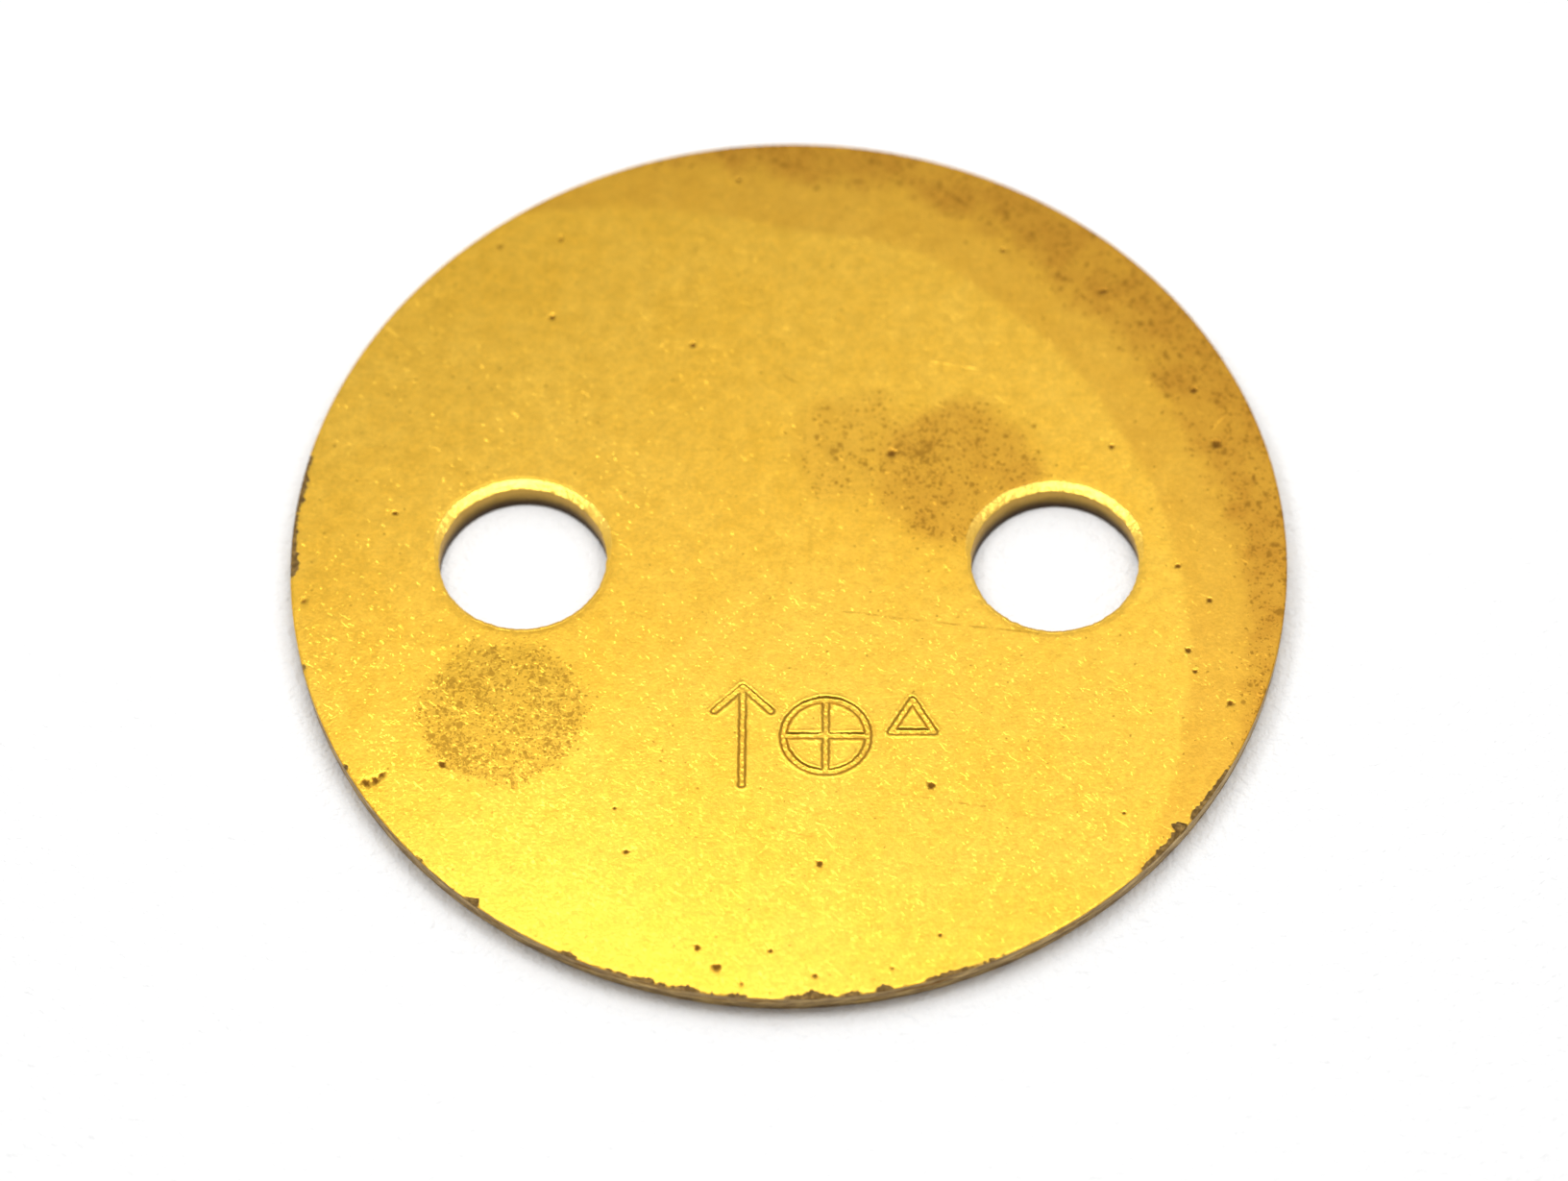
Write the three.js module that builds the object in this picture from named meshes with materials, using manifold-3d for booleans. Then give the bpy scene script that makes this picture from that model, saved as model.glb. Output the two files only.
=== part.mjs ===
// A carburettor throttle plate: one thin brass disc that closes a round bore at an angle.
// Millimetres. The plate lies flat: +Z is up, out of the marked face, and +X runs along the
// spindle, through both screw holes. The origin is the centre of the plate, halfway through it.
import * as THREE from "three";
import { mergeVertices } from "three/addons/utils/BufferGeometryUtils.js";
import Module from "manifold-3d";

const wasm = await Module();
wasm.setup();

// Driving dimensions
const BORE_DIAMETER = 32; // the round bore that the plate closes
const CLOSED_ANGLE = 78; // degrees between the bore's axis and the closed plate
const THICKNESS = 1.0;
const HOLE_DIAMETER = 5.4; // clearance for a 5 mm spindle screw
const HOLE_SPACING = 17.1;
const HOLE_LIP_RADIUS = 0.2; // the punch draws the marked face's edge in by this much

// The mark struck into the upper face: an arrow, a ring with a cross in it, and a small triangle
const MARK_DEPTH = 0.08;
const STROKE_WIDTH = 0.27;
const ARROW_X = -1.4;
const ARROW_TAIL_Y = -8.6;
const ARROW_TIP_Y = -4.95;
const BARB_REACH = 0.9; // how far each barb runs, along both X and Y, from the tip
const CROSSED_RING = { x: 1.25, y: -6.77, radius: 1.35 };
const SMALL_TRIANGLE = { x: 4.0, y: -6.2, radius: 0.8 };

// Facets
const OUTLINE_SEGMENTS = 144;
const HOLE_SEGMENTS = 64;
const LIP_SEGMENTS = 4;
const MARK_SEGMENTS = 40;
const STROKE_END_SEGMENTS = 6;

const BRASS = { name: "brass", color: 0xd6a63a, roughness: 0.38, metalness: 1.0 };

const TOP = THICKNESS / 2;
const TILT = THREE.MathUtils.degToRad(90 - CLOSED_ANGLE); // the rim's lean from square
const OVERCUT = 1; // how far each cutter runs past the face it opens

// A closed three.js geometry as a manifold-3d solid.
function solidFrom(geometry) {
  const bare = new THREE.BufferGeometry().setAttribute("position", geometry.getAttribute("position"));
  if (geometry.index) bare.setIndex(geometry.index);
  const merged = mergeVertices(bare, 1e-5);
  return new wasm.Manifold(
    new wasm.Mesh({
      numProp: 3,
      vertProperties: merged.attributes.position.array,
      triVerts: new Uint32Array(merged.index.array),
    }),
  );
}

function geometryFrom(solid) {
  const mesh = solid.getMesh();
  const geometry = new THREE.BufferGeometry();
  geometry.setAttribute("position", new THREE.BufferAttribute(mesh.vertProperties, 3));
  geometry.setIndex(new THREE.BufferAttribute(mesh.triVerts, 1));
  geometry.computeVertexNormals();
  return geometry;
}

// The slice of the bore's own cylinder between the two faces: an ellipse, longer across the
// spindle, whose rim leans so that it meets the bore's wall all round when the plate is shut.
function plateBlank() {
  const outline = new THREE.Shape();
  const acrossSpindle = BORE_DIAMETER / 2 / Math.cos(TILT);
  outline.absellipse(0, 0, BORE_DIAMETER / 2, acrossSpindle, 0, 2 * Math.PI);
  const blank = new THREE.ExtrudeGeometry(outline, {
    depth: THICKNESS,
    bevelEnabled: false,
    curveSegments: OUTLINE_SEGMENTS,
  });
  blank.translate(0, 0, -TOP);
  const lean = new THREE.Matrix4().makeShear(0, 0, 0, 0, 0, -Math.tan(TILT));
  return solidFrom(blank.applyMatrix4(lean)); // y falls as z rises: the front rim is undercut
}

// A screw hole's cutter: a straight bore that flares into the drawn-in lip at the upper face.
function holeCutter(x) {
  const radius = HOLE_DIAMETER / 2;
  const profile = [new THREE.Vector2(0, -TOP - OVERCUT), new THREE.Vector2(radius, -TOP - OVERCUT)];
  for (let i = 0; i <= LIP_SEGMENTS; i++) {
    const turn = (i / LIP_SEGMENTS) * (Math.PI / 2);
    profile.push(
      new THREE.Vector2(
        radius + HOLE_LIP_RADIUS * (1 - Math.cos(turn)),
        TOP - HOLE_LIP_RADIUS * (1 - Math.sin(turn)),
      ),
    );
  }
  profile.push(new THREE.Vector2(radius + HOLE_LIP_RADIUS, TOP + OVERCUT));
  profile.push(new THREE.Vector2(0, TOP + OVERCUT));
  const cutter = new THREE.LatheGeometry(profile, HOLE_SEGMENTS);
  return solidFrom(cutter.rotateX(Math.PI / 2).translate(x, 0, 0));
}

// A shape cut straight down into the upper face, to the mark's depth.
function struck(shape) {
  const cutter = new THREE.ExtrudeGeometry(shape, {
    depth: MARK_DEPTH + OVERCUT,
    bevelEnabled: false,
    curveSegments: MARK_SEGMENTS,
  });
  return solidFrom(cutter.translate(0, 0, TOP - MARK_DEPTH));
}

// One straight stroke with round ends.
function stroke(x0, y0, x1, y1) {
  const along = Math.atan2(y1 - y0, x1 - x0);
  const half = STROKE_WIDTH / 2;
  const outline = [];
  for (const [x, y, from] of [[x0, y0, along + Math.PI / 2], [x1, y1, along - Math.PI / 2]]) {
    for (let i = 0; i <= STROKE_END_SEGMENTS; i++) {
      const turn = from + (i / STROKE_END_SEGMENTS) * Math.PI;
      outline.push(new THREE.Vector2(x + half * Math.cos(turn), y + half * Math.sin(turn)));
    }
  }
  return struck(new THREE.Shape(outline));
}

function ring({ x, y, radius }) {
  const shape = new THREE.Shape();
  shape.absarc(x, y, radius + STROKE_WIDTH / 2, 0, 2 * Math.PI);
  const island = new THREE.Path();
  island.absarc(x, y, radius - STROKE_WIDTH / 2, 0, 2 * Math.PI);
  shape.holes.push(island);
  return struck(shape);
}

function cross({ x, y, radius }) {
  return stroke(x - radius, y, x + radius, y).add(stroke(x, y - radius, x, y + radius));
}

function triangle({ x, y, radius }) {
  const corners = [0, 1, 2].map((i) => Math.PI / 2 + (i * 2 * Math.PI) / 3);
  const [top, left, right] = corners.map((turn) => [
    x + radius * Math.cos(turn),
    y + radius * Math.sin(turn),
  ]);
  return stroke(...top, ...left).add(stroke(...left, ...right)).add(stroke(...right, ...top));
}

function mark() {
  const shaft = stroke(ARROW_X, ARROW_TAIL_Y, ARROW_X, ARROW_TIP_Y);
  const leftBarb = stroke(ARROW_X, ARROW_TIP_Y, ARROW_X - BARB_REACH, ARROW_TIP_Y - BARB_REACH);
  const rightBarb = stroke(ARROW_X, ARROW_TIP_Y, ARROW_X + BARB_REACH, ARROW_TIP_Y - BARB_REACH);
  return shaft
    .add(leftBarb)
    .add(rightBarb)
    .add(ring(CROSSED_RING))
    .add(cross(CROSSED_RING))
    .add(triangle(SMALL_TRIANGLE));
}

function throttlePlate() {
  const solid = plateBlank()
    .subtract(holeCutter(-HOLE_SPACING / 2))
    .subtract(holeCutter(HOLE_SPACING / 2))
    .subtract(mark());
  const plate = new THREE.Mesh(geometryFrom(solid), new THREE.MeshStandardMaterial(BRASS));
  plate.name = "throttle_plate";
  return plate;
}

const object = new THREE.Group();
object.add(throttlePlate());

export default object;
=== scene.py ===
import math

import bpy
import numpy as np
from mathutils import Matrix, Vector
from mathutils.geometry import delaunay_2d_cdt


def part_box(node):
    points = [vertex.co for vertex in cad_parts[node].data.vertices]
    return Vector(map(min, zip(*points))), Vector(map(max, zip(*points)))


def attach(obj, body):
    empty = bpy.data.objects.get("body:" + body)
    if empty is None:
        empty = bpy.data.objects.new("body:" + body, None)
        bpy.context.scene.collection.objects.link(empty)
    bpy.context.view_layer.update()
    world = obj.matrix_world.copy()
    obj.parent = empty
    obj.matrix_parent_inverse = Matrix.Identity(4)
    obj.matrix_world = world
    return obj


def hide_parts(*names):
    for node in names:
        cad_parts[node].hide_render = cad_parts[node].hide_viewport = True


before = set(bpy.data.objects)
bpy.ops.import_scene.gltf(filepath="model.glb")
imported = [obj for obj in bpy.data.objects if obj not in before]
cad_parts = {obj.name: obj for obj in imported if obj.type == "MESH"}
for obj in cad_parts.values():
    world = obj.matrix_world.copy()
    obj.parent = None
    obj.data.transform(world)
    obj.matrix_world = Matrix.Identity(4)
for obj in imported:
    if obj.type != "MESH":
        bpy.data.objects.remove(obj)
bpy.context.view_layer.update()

MM = 0.001

# The plate, from its packed box
PLATE_NODE = "throttle_plate"
PLATE_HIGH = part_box(PLATE_NODE)[1] / MM
CLOSING_ANGLE = 78
LEAN = math.tan(math.radians(90 - CLOSING_ANGLE))  # the rim leans, so that it closes a round bore
TOP = PLATE_HIGH.z
HALF_WIDTH = PLATE_HIGH.x
HALF_LENGTH = PLATE_HIGH.y - TOP * LEAN
RAISED = 0.014  # room above the flat face for the raised edges of struck lines
FACE = TOP - RAISED

# Screw holes: where their centres lie in x, and their shape
HOLES = (-8.55, 8.55)
HOLE_RADIUS = 2.7
ROLL_WIDTH = 0.34  # the punch draws the face down into each hole over this width, on the far side
ROLL_DROP = 0.125  # and down by this much
NEAR_ROLL = 0.36  # the share of that width and drop that the near side has
HOLE_MARGIN = 0.06  # the flat ring of face round the lip
RAGGED_LIP = 0.034
LIP_DENT = 0.02
BREAKOUT = 0.015  # the hole widens this much towards its lower edge
TORN_BORE = 0.01
UPPER_SHIFT = -0.07  # the hole's upper edge lies this far off centre in y
DRIFT_X, DRIFT_Y = 0.05, -0.03  # its lower edge lies this far off centre
FAR_TIGHT = 0.12  # and is this much tighter on the far side
UNDER_RINGS = (0.06, 0.4)  # how far outside the hole the rings of the lower face lie

# The struck mark: an arrow, a ring with a cross in it, and a small triangle
MARK_DEPTH = 0.07
STROKE_HALF = 0.14  # half a stroke's width at the face
FLOOR_HALF = 0.065  # and at its floor
CREST_HEIGHT, CREST_AWAY, CREST_WIDTH = 0.011, 0.045, 0.04  # the raised edge beside a stroke
FLOOR_GRAIN = 0.008
ARROW_X, ARROW_TAIL, ARROW_TIP, ARROW_BARB = -1.4, -8.6, -4.95, 0.9
RING_X, RING_Y, RING_RADIUS = 1.25, -6.77, 1.35
TRIANGLE_X, TRIANGLE_Y, TRIANGLE_RADIUS = 4.0, -6.2, 0.8

# Corrosion pits in the face: x, y and radius
PITS = (
    (-3.2, 8.2, 0.12), (-7.8, 9.3, 0.12), (-7.6, 12.4, 0.09), (-9.6, 12.1, 0.09),
    (-1.8, 14.8, 0.09), (-12.7, 1.6, 0.09), (13.8, 4.4, 0.18), (10.4, 4.3, 0.1),
    (3.3, 4.0, 0.15), (10.2, 10.4, 0.12), (6.9, 12.0, 0.08), (13.1, 6.5, 0.12),
    (15.0, 3.1, 0.09), (12.5, -0.3, 0.1), (13.5, -1.6, 0.1), (12.8, -3.5, 0.1),
    (13.0, -4.3, 0.09), (14.1, -5.5, 0.12), (10.7, -9.6, 0.07), (4.6, -8.6, 0.14),
    (1.1, -11.5, 0.13), (4.9, -14.1, 0.07), (3.4, -15.3, 0.08), (1.0, -15.6, 0.1),
    (-0.4, -14.7, 0.08), (-1.3, -15.9, 0.06), (-2.1, -15.3, 0.15), (-2.7, -14.6, 0.1),
    (-5.0, -11.1, 0.09), (-5.4, -9.5, 0.06), (-10.9, -7.9, 0.13), (-15.5, -1.8, 0.11),
    (-13.3, -8.6, 0.17), (-13.0, -8.5, 0.14), (-12.8, -8.3, 0.13), (-13.6, -8.8, 0.07),
)
PIT_DEPTH = 0.03

# Chips broken from the rim's upper edge: where each starts, is deepest and ends, in degrees round
# the plate, and how far in it reaches
CHIPS = (
    (-40.3, -38.1, -37.3, 0.42), (-47, -40, -38, 0.22), (-37.5, -35.5, -24, 0.15),
    (-130, -100, -91.5, 0.09), (-90.5, -70, -40, 0.08),
    (-75, -72, -65, 0.14), (-79.8, -78.6, -77.4, 0.24), (-84.2, -82, -79.5, 0.14),
    (-90.6, -86.4, -83.8, 0.3), (-97.5, -95, -93, 0.14), (-102.8, -100.8, -99.2, 0.16),
    (-107.6, -105.5, -103.2, 0.16), (-117, -115, -113, 0.13), (-129.5, -127.6, -126.8, 0.2),
    (-137, -135.8, -134.8, 0.14), (-152, -151, -150, 0.1), (-166, -165, -164.4, 0.12),
    (163, 172, 175, 0.2), (172, 181.5, 183, 0.26),
)
WORN_EDGE = 0.03  # the least that the edge is worn back anywhere
CHIPPED = 1.8 * WORN_EDGE  # more than this is a chip
BAND = 1.0  # the rim's strip of face that the chips are modelled in

# Dark slots torn in the rim's wall: angle, height and half length
WALL_SLOTS = (
    (-113, 0.05, 0.4), (-106, 0.22, 1.6), (-98, 0.0, 0.7), (-93, 0.2, 0.9), (-80.5, -0.15, 0.5),
    (-74, 0.16, 1.3), (-62, -0.1, 0.4), (-55, 0.15, 0.8), (-124, 0.1, 0.7), (-140, 0.15, 0.9),
    (20, 0.1, 0.4),
)
SLOT_HALF = 0.1
SLOT_DEPTH = 0.06
TORN_WALL = 0.012

# Hairline scratches on the face, as the ends of each in x and y
DARK_HAIRLINES = (
    (1.8, -2.1, 8.0, -2.9), (-0.4, -10.2, 1.0, -10.6), (3.5, -8.9, 6.3, -9.4),
    (-0.2, 7.0, 0.2, 6.7), (3.0, -2.2, 3.4, -2.4),
)
BRIGHT_HAIRLINES = ((4.5, 7.6, 6.1, 7.3), (13.7, 5.0, 14.4, 5.9))

# Mesh spacing
FAR_AWAY = 99.0
GRID_STEPS = ((0.28, FAR_AWAY), (0.14, 0.5), (0.07, 0.2), (0.035, 0.05))  # step, reach round a feature
RIM_SAMPLES = 20001
RIM_STEP_FINE = 0.05
RIM_STEP_PLAIN = 0.14
BAND_RINGS = 12
WALL_RINGS = (0.03, 0.1, 0.17, 0.24, 0.31, 0.38, 0.45, 0.52, 0.6, 0.68, 0.76, 0.84, 0.92, 1.0)
LIP_RINGS = (1.0, 0.88, 0.76, 0.64, 0.52, 0.4, 0.3, 0.2, 0.12, 0.05, 0.0)
BORE_RINGS = (0.03, 0.12, 0.3, 0.45, 0.6, 0.8, 1.0)
HOLE_STATIONS = 240
UNDERSIDE_STEP = 0.9
UNDERSIDE_REACH = 15
MERGE_WITHIN = 1e-7

# The texture layout: the upper face with its walls unrolled round it, and the lower face
TOP_ISLAND, UNDER_ISLAND = 0, 1
ISLAND_CENTRE = np.array([(0.36, 0.36), (0.775, 0.775)])
ISLAND_RADIUS = np.array([0.35, 0.22])
ISLAND_MARGIN = 0.2
BAKE_UV = "OFBake"

# Camera
LENS = 216.66
SENSOR = 36.0
CLIP = (0.01, 10.0)  # in metres
ELEVATION, YAW, ROLL = 57.19, 1.45, 0.99
DISTANCE = 303.0
AIM = Vector((-0.14, -0.99, 0.0))
F_STOP = 40.0
FOCUS = Vector((0.0, -7.0, TOP))

# Stage
TABLE_HALF = 1500.0
TABLE_WHITE = 0.95
TABLE_GRAIN = 0.12
TABLE_FADE = (40.0, 90.0)  # from here to here the table top turns into plain white light
LAMPS = {  # centre, width, depth and radiance
    "overhead": ((19.5, 23.8, 118), 48, 119, 1.05),
    "glint": ((-12.3, 7.7, 53.6), 15.8, 13.3, 6.3),
    "zenith": ((0, -8, 110), 130, 40, 4.2),
}
WORLD_FRONT, WORLD_BACK, WORLD_LOW_BACK = 0.34, 0.68, 0.36


def smooth_step(low, high, value):
    share = np.clip((value - low) / (high - low), 0.0, 1.0)
    return share * share * (3 - 2 * share)


def scatter(i, j, seed):
    """A repeatable random number from 0 to 1 for each pair of whole numbers."""
    value = np.sin(i * 127.1 + j * 311.7 + seed * 74.7) * 43758.5453
    return value - np.floor(value)


def noise(x, y, seed=0):
    """Smooth random heights from -1 to 1 that change over about one unit."""
    i, j = np.floor(x), np.floor(y)
    u, v = smooth_step(0, 1, x - i), smooth_step(0, 1, y - j)
    low = scatter(i, j, seed) * (1 - u) + scatter(i + 1, j, seed) * u
    high = scatter(i, j + 1, seed) * (1 - u) + scatter(i + 1, j + 1, seed) * u
    return 2 * (low * (1 - v) + high * v) - 1


def rough_noise(x, y, seed=0):
    """Noise with three octaves."""
    total = noise(x, y, seed) + 0.5 * noise(2.1 * x, 2.1 * y, seed + 1)
    return (total + 0.25 * noise(4.3 * x, 4.3 * y, seed + 2)) / 1.75


# ---- the face -----------------------------------------------------------------------------------


def mark_strokes():
    """The mark's straight strokes, as pairs of end points."""
    tip = (ARROW_X, ARROW_TIP)
    strokes = [((ARROW_X, ARROW_TAIL), tip)]
    for side in (-1, 1):
        strokes.append((tip, (ARROW_X + side * ARROW_BARB, ARROW_TIP - ARROW_BARB)))
    strokes.append(((RING_X - RING_RADIUS, RING_Y), (RING_X + RING_RADIUS, RING_Y)))
    strokes.append(((RING_X, RING_Y - RING_RADIUS), (RING_X, RING_Y + RING_RADIUS)))
    corners = []
    for i in range(3):
        turn = math.radians(90 + 120 * i)
        out_x, out_y = TRIANGLE_RADIUS * math.cos(turn), TRIANGLE_RADIUS * math.sin(turn)
        corners.append((TRIANGLE_X + out_x, TRIANGLE_Y + out_y))
    for i in range(3):
        strokes.append((corners[i], corners[(i + 1) % 3]))
    return strokes


def mark_distance(x, y):
    """How far each point is from the centre line of the nearest stroke."""
    nearest = np.abs(np.hypot(x - RING_X, y - RING_Y) - RING_RADIUS)
    for (x0, y0), (x1, y1) in mark_strokes():
        along_x, along_y = x1 - x0, y1 - y0
        length_squared = along_x**2 + along_y**2
        share = np.clip(((x - x0) * along_x + (y - y0) * along_y) / length_squared, 0, 1)
        nearest = np.minimum(nearest, np.hypot(x - x0 - share * along_x, y - y0 - share * along_y))
    return nearest


def pit_distance(x, y):
    """How far each point is outside the nearest pit's edge, and the least of its distances from the
    pits' middles in shares of their radii."""
    nearest = np.full(np.shape(x), FAR_AWAY)
    share = np.full(np.shape(x), FAR_AWAY)
    for pit_x, pit_y, radius in PITS:
        away = np.hypot(x - pit_x, y - pit_y)
        nearest = np.minimum(nearest, away - radius)
        share = np.minimum(share, away / radius)
    return nearest, share


def face_relief(x, y):
    """Height above the flat face, how far each point is pit, and how far it lies on a struck
    stroke's sloping side, where shade is painted, from 0 to 1."""
    distance = mark_distance(x, y) + 0.014 * noise(x / 0.1, y / 0.1, 3)
    strike = 0.85 + 0.3 * noise(x / 1.3, y / 1.3, 5)
    side = smooth_step(FLOOR_HALF, STROKE_HALF, distance)
    crest = np.exp(-(((distance - STROKE_HALF - CREST_AWAY) / CREST_WIDTH) ** 2))
    floor_grain = FLOOR_GRAIN * noise(x / 0.07, y / 0.07, 7)
    height = (floor_grain - MARK_DEPTH * strike) * (1 - side)
    height += CREST_HEIGHT * crest * (0.7 + 0.5 * noise(x / 0.25, y / 0.25, 9))
    # the band down each stroke's sloping sides, which the material darkens as painted shade
    groove = np.exp(-(((distance - (FLOOR_HALF + STROKE_HALF) / 2) / 0.045) ** 2))
    share = pit_distance(x, y)[1] * (1 + 0.5 * rough_noise(x / 0.1, y / 0.1, 11))
    pit = 1 - smooth_step(0.55, 1.2, share)
    height -= PIT_DEPTH * np.clip(1.1 - share, 0, 1) ** 0.8
    return height, pit, groove


def feature_distance(x, y):
    """How far each point is from anything that needs a fine mesh."""
    return np.minimum(mark_distance(x, y) - STROKE_HALF - 0.1, pit_distance(x, y)[0])


def rim_point(turn, height):
    """A point of the leaning rim, at an angle in radians and a height."""
    return HALF_WIDTH * np.cos(turn), HALF_LENGTH * np.sin(turn) - height * LEAN


def face_grid():
    """Points over the face, closer together round the mark and the pits."""
    clouds = []
    for level, (step, reach) in enumerate(GRID_STEPS):
        across, down = np.arange(-HALF_WIDTH, HALF_WIDTH, step), np.arange(-HALF_LENGTH, HALF_LENGTH, step)
        x, y = np.meshgrid(across, down)
        offset = step * (0.5 if level else 0.0)
        x, y = x.ravel() + offset, y.ravel() + offset
        inset = BAND + 0.5 * step
        inside = (x / (HALF_WIDTH - inset)) ** 2 + ((y + TOP * LEAN) / (HALF_LENGTH - inset)) ** 2 < 1
        x, y = x[inside], y[inside]
        for hole in HOLES:
            clear = np.hypot(x - hole, y) > HOLE_RADIUS + ROLL_WIDTH + 0.5 * step + 0.05
            x, y = x[clear], y[clear]
        near = feature_distance(x, y) < reach
        clouds.append(np.stack([x[near], y[near]], 1))
    return np.concatenate(clouds)


# ---- the rim and the holes ----------------------------------------------------------------------


def chip_reach(turn):
    """How far in from the rim the upper edge is broken or worn away."""
    along = turn * HALF_WIDTH
    reach = WORN_EDGE * (1 + 0.6 * noise(along / 0.3, 0 * along, 19))
    for start, deepest, end, size in CHIPS:
        away = (np.degrees(turn) - deepest + 180) % 360 - 180
        share = np.where(away < 0, 1 + away / (deepest - start), 1 - away / (end - deepest))
        ragged = 1 + 0.5 * rough_noise(along / 0.3, 0 * along + start, 21)
        ragged = ragged + 0.35 * noise(along / 0.09, 0 * along, 23)
        reach = np.maximum(reach, size * np.clip(share, 0, 1) ** 0.8 * ragged)
    return reach


def rim_stations():
    """Angles round the rim in radians, closer together along the chipped stretches."""
    turn = np.linspace(0, 2 * math.pi, RIM_SAMPLES)
    chipped = chip_reach(turn) > CHIPPED
    front = np.sin(turn) < -0.2
    step = np.where(chipped | front, RIM_STEP_FINE, RIM_STEP_PLAIN)
    count = np.concatenate([[0], np.cumsum(HALF_WIDTH * np.diff(turn) / step[1:])])
    return np.interp(np.arange(int(count[-1])) * count[-1] / int(count[-1]), count, turn)


class Skin:
    """Collects the plate's vertices and faces, ring by ring."""

    def __init__(self):
        self.points = []
        self.unrolled = []  # each vertex's place in the upper texture island
        self.masks = {"pit": [], "groove": [], "chip": [], "wall": [], "bore": [], "lip": []}
        self.faces = []
        self.islands = []
        self.size = 0

    def add(self, x, y, z, unrolled=None, **masks):
        """Adds vertices and gives back their numbers."""
        z = np.broadcast_to(z, np.shape(x))
        self.points.append(np.stack([x, y, z], 1))
        self.unrolled.append(np.stack([x, y] if unrolled is None else unrolled, 1))
        for name, values in self.masks.items():
            values.append(np.broadcast_to(masks.get(name, 0.0), np.shape(x)))
        self.size += len(x)
        return np.arange(self.size - len(x), self.size)

    def strip(self, first, second, island):
        """Joins two closed rings. Seen from outside, the second lies to the right of the first."""
        following, second_following = np.roll(first, -1), np.roll(second, -1)
        self.faces.append(np.stack([first, second, second_following, following], 1))
        self.islands.append(np.full(len(first), island))

    def triangles(self, corners, island):
        self.faces.append(np.concatenate([corners, corners[:, :1]], 1))
        self.islands.append(np.full(len(corners), island))


def rim_outward(turn):
    """The direction square to the outline at each angle, level with the face."""
    outward = np.stack([HALF_LENGTH * np.cos(turn), HALF_WIDTH * np.sin(turn)])
    return outward / np.hypot(*outward)


def inset_point(turn, height, inset):
    """A point of the rim, moved in towards the plate's middle."""
    return np.stack(rim_point(turn, height)) - inset * rim_outward(turn)


def band_rings(skin, turn, reach):
    """The strip of face along the rim, up to where the edge is broken."""
    rings = []
    for share in np.linspace(1.0, 0.08, BAND_RINGS):
        x, y = inset_point(turn, TOP, reach + (BAND - reach) * share)
        relief, pit, groove = face_relief(x, y)
        rings.append(skin.add(x, y, FACE + relief, pit=pit, groove=groove))
    x, y = inset_point(turn, FACE, reach + 0.02)
    relief, pit, _ = face_relief(x, y)
    rings.append(skin.add(x, y, FACE + relief, pit=pit))
    return rings


def chip_rings(skin, turn, reach):
    """The broken upper edge. Gives back its rings and the height of its lower end."""
    along = turn * HALF_WIDTH
    drop = 0.012 + 0.3 * reach
    broken = smooth_step(CHIPPED, 3 * WORN_EDGE, reach)
    rings = []
    for share in (1.0, 0.7, 0.4, 0.15, 0.0):
        facets = rough_noise(along / 0.22, 0 * along + 4 * share, 31)
        height = FACE - drop * (1 - share) ** 0.75 - 0.1 * reach * broken * np.abs(facets)
        height = np.minimum(height, FACE - 0.004)
        x, y = inset_point(turn, height, reach * share)
        rings.append(skin.add(x, y, height, chip=broken))
    return rings, height


def wall_slot(turn, height):
    """How far each point of the wall is in a torn slot, from 0 to 1."""
    wander = 0.05 * noise(turn * HALF_WIDTH / 0.8, 0 * turn, 43)
    slot = np.zeros(len(turn))
    for angle, slot_height, half_length in WALL_SLOTS:
        away = (np.degrees(turn) - angle + 180) % 360 - 180
        beside = np.radians(away) * HALF_WIDTH / half_length
        above = (height - slot_height - wander) / SLOT_HALF
        slot = np.maximum(slot, 1 - smooth_step(0.5, 1.1, np.hypot(beside, above)))
    return slot


def wall_rings(skin, turn, edge_height):
    """The leaning, sheared wall below the upper edge."""
    edge, outward = np.stack(rim_point(turn, edge_height)), rim_outward(turn)
    rings = []
    for share in WALL_RINGS:
        height = edge_height + share * (WORN_EDGE - TOP - edge_height)
        torn = TORN_WALL * (1 + rough_noise(turn * HALF_WIDTH / 0.9, height / 0.07, 41))
        slot = wall_slot(turn, height)
        x, y = inset_point(turn, height, torn + SLOT_DEPTH * slot)
        flat = edge + (edge_height - height) * outward
        rings.append(skin.add(x, y, height, flat, wall=1.0, pit=slot))
    return rings


def rim(skin):
    """The strip of face along the rim, its chips, the leaning wall and the lower edge. Gives back the
    innermost ring of each face."""
    turn = rim_stations()
    reach = chip_reach(turn)
    rings = band_rings(skin, turn, reach)
    chips, edge_height = chip_rings(skin, turn, reach)
    rings += chips + wall_rings(skin, turn, edge_height)
    for upper, lower in zip(rings, rings[1:]):
        skin.strip(upper, lower, TOP_ISLAND)
    under = [skin.add(*inset_point(turn, -TOP, inset), -TOP) for inset in (WORN_EDGE, BAND)]
    skin.strip(rings[-1], under[0], UNDER_ISLAND)
    skin.strip(under[0], under[1], UNDER_ISLAND)
    return rings[0], under[1]


def lip_rings(skin, centre, turn, ragged):
    """The rolled-over lip. Gives back its rings and the height of its lower end."""
    ring_x, ring_y = np.cos(turn), np.sin(turn)
    along = turn * HOLE_RADIUS
    outer = HOLE_RADIUS + ROLL_WIDTH + HOLE_MARGIN
    rings = [skin.add(centre + outer * ring_x, outer * ring_y, FACE)]
    roll = NEAR_ROLL + (1 - NEAR_ROLL) * smooth_step(-0.1, 0.5, ring_y)
    for share in LIP_RINGS:
        radius = HOLE_RADIUS + ragged + ROLL_WIDTH * roll * share
        dents = LIP_DENT * rough_noise(along / 0.22, 0 * along + centre + 2 * share, 53) * (1 - share)
        height = FACE - ROLL_DROP * roll * (1 - share) ** 1.3 - np.abs(dents)
        lip = roll if share < 1 else 0.0
        rings.append(skin.add(centre + radius * ring_x, UPPER_SHIFT + radius * ring_y, height, lip=lip))
    return rings, height


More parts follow.
